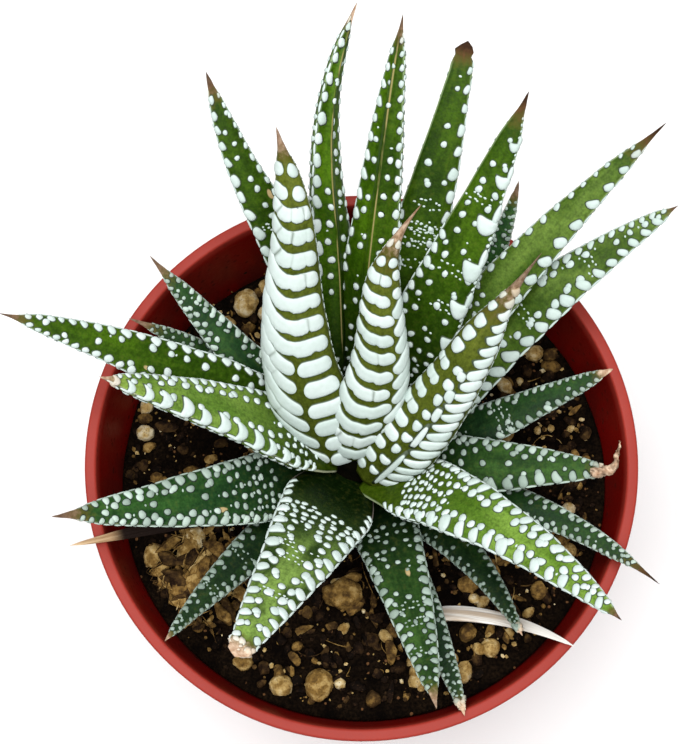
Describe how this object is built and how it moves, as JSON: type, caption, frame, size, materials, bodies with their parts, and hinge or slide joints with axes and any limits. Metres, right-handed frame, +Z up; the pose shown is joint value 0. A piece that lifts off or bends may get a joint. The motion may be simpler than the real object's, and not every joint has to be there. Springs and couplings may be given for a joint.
{
  "type": "potted haworthia",
  "caption": "rosette of thick pointed green leaves with raised white bands and warts, growing in dark potting mix in a round tapered red plastic nursery pot",
  "frame": {"origin": "centre of the pot's underside, on the surface it stands on", "axes": "+Z up; -Y is the front of the pot, +Y is where the rosette leans; +X is to the right seen from the front"},
  "size_m": [0.1157, 0.1203, 0.1237],
  "materials": {
    "red_plastic": "moulded coral red polypropylene, satin, scuffed at the rim, dusty inside",
    "potting_mix": "dark peat with bark chips, fibres and tan pumice grains, matte and rough",
    "stem": "short woody green-brown stem between the leaf feet, dull",
    "young_leaf": "olive green skin under merged raised white bands, brown tips, satin",
    "grown_leaf": "deep green fleshy skin with raised off-white warts, brown tips, satin",
    "old_leaf": "dark bluish green fleshy skin with small white warts, satin",
    "dry_leaf": "withered cream and tan leaf, papery, matte",
    "pumice": "ochre pumice and bark lumps, rough, matte"
  },
  "bodies": {
    "root": {"pot": "red_plastic", "potting_mix": "potting_mix", "stem": "stem", "inner_leaf_1": "young_leaf", "inner_leaf_2": "young_leaf", "inner_leaf_3": "young_leaf", "middle_leaf_1": "grown_leaf", "middle_leaf_2": "grown_leaf", "middle_leaf_3": "grown_leaf", "middle_leaf_4": "grown_leaf", "middle_leaf_5": "grown_leaf", "middle_leaf_6": "grown_leaf", "middle_leaf_7": "grown_leaf", "middle_leaf_8": "grown_leaf", "middle_leaf_9": "grown_leaf", "middle_leaf_10": "grown_leaf", "middle_leaf_11": "grown_leaf", "outer_leaf_1": "old_leaf", "outer_leaf_2": "old_leaf", "outer_leaf_3": "old_leaf", "outer_leaf_4": "old_leaf", "outer_leaf_5": "old_leaf", "outer_leaf_6": "old_leaf", "outer_leaf_7": "old_leaf", "outer_leaf_8": "old_leaf", "outer_leaf_9": "old_leaf", "outer_leaf_10": "old_leaf", "outer_leaf_11": "old_leaf", "dry_leaf_1": "dry_leaf", "dry_leaf_2": "dry_leaf", "stone_1": "pumice", "stone_2": "pumice", "stone_3": "pumice", "stone_4": "pumice", "stone_5": "pumice", "stone_6": "pumice", "stone_7": "pumice", "stone_8": "pumice", "stone_9": "pumice", "stone_10": "pumice", "stone_11": "pumice", "stone_12": "pumice", "stone_13": "pumice", "stone_14": "pumice"}
  },
  "joints": []
}
